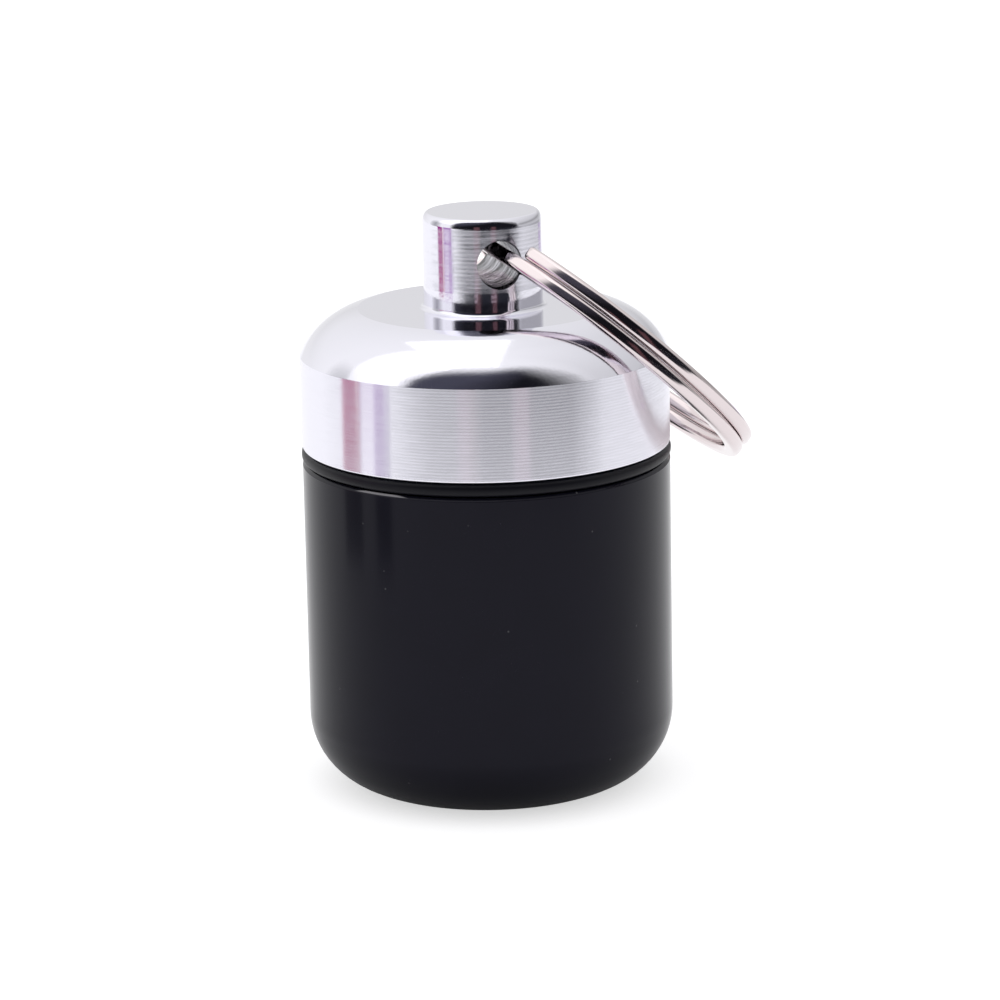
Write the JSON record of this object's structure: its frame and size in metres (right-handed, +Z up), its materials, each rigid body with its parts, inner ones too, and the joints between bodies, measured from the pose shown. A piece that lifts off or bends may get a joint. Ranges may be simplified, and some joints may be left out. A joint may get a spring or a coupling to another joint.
{
  "type": "screw-cap key-ring canister",
  "caption": "Small round metal canister with a domed screw cap, a rubber seal and a drilled knob that carries a split ring.",
  "frame": {"origin": "centre of the can's flat base", "axes": "+Z up along the screw's axis, +X towards the split ring where it hangs, Y along the hole through the knob"},
  "size_m": [0.0369, 0.0302, 0.0474],
  "materials": {
    "black_anodised_aluminium": "glossy black anodised",
    "black_rubber": "satin",
    "turned_aluminium": "bright turned, polished on the dome",
    "nickel_plated_steel": "bright nickel plate on steel wire"
  },
  "bodies": {
    "jar": {"jar_body": "black_anodised_aluminium"},
    "seal": {"seal_ring": "black_rubber"},
    "cap": {"cap": "turned_aluminium"},
    "ring": {"split_ring": "nickel_plated_steel"}
  },
  "joints": [
    {"name": "cap_turn", "type": "hinge", "parent": "jar", "child": "seal", "pos_m": [0, 0, 0.0272], "axis": [0, 0, 1], "range_deg": [0, 1800]},
    {"name": "cap_rise", "type": "slide", "parent": "seal", "child": "cap", "axis": [0, 0, 1], "range_m": [0, 0.0075]},
    {"name": "ring_swing", "type": "hinge", "parent": "cap", "child": "ring", "pos_m": [0, 0, 0.0438], "axis": [0, -1, 0], "range_deg": [0, 238]}
  ],
  "couplings": [
    {"joint": "cap_rise", "follows": "cap_turn", "m_per_rad": 0.00023873}
  ]
}
